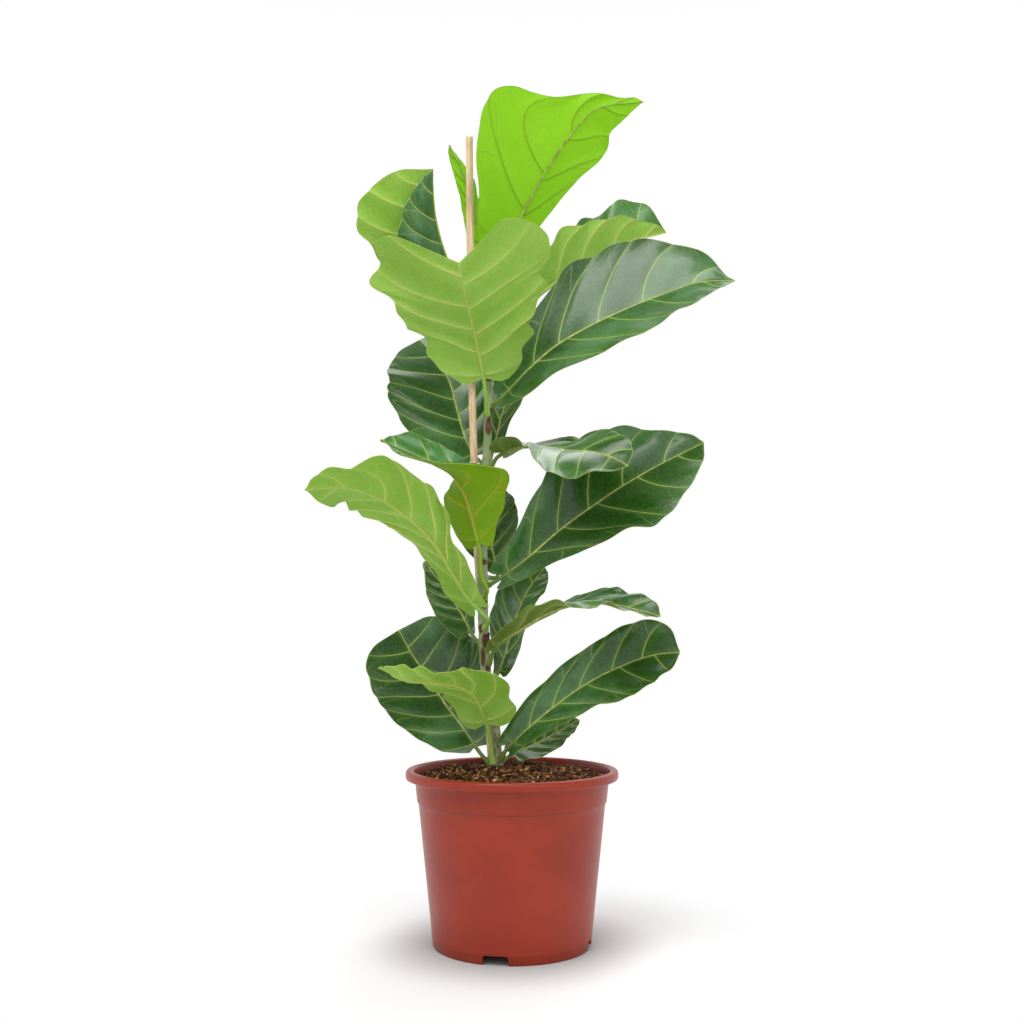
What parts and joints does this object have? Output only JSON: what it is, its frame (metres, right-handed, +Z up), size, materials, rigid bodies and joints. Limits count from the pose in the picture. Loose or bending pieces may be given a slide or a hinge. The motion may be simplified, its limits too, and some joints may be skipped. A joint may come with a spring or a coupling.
{
  "type": "potted fiddle leaf fig",
  "caption": "Fiddle leaf fig about a metre high with large veined leaves, grown as one upright stem beside a wooden stake in a round tapered plastic nursery pot.",
  "frame": {"origin": "on the pot's axis at the level it stands on, at the centre of the pot's foot pad", "axes": "+Z up along the pot's axis; -Y is the front of the plant, +X to its right seen from the front"},
  "size_m": [0.4643, 0.2968, 0.9566],
  "materials": {
    "pot_plastic": "terracotta-red moulded polypropylene, satin",
    "soil": null,
    "stake_wood": "bare light beige wood, fine grain",
    "stem_bark": "green shoot that turns grey-brown and woody at the foot, with leaf scars",
    "bud_sheath": null,
    "dry_scale": "dry papery brown scale",
    "leaf_dark": null,
    "leaf_light": null,
    "leaf_young": null
  },
  "bodies": {
    "root": {"pot": "pot_plastic", "soil": "soil", "stake": "stake_wood", "stem": "stem_bark", "bud": "bud_sheath", "stipule_1": "dry_scale", "stipule_2": "dry_scale", "stipule_3": "dry_scale", "leaf_01": "leaf_dark", "leaf_02": "leaf_light", "leaf_03": "leaf_dark", "leaf_04": "leaf_dark", "leaf_05": "leaf_dark", "leaf_06": "leaf_dark", "leaf_07": "leaf_dark", "leaf_08": "leaf_dark", "leaf_09": "leaf_light", "leaf_10": "leaf_dark", "leaf_11": "leaf_light", "leaf_12": "leaf_dark", "leaf_13": "leaf_dark", "leaf_14": "leaf_dark", "leaf_15": "leaf_dark", "leaf_16": "leaf_light", "leaf_17": "leaf_light", "leaf_18": "leaf_light", "leaf_19": "leaf_young", "leaf_20": "leaf_young"}
  },
  "joints": []
}
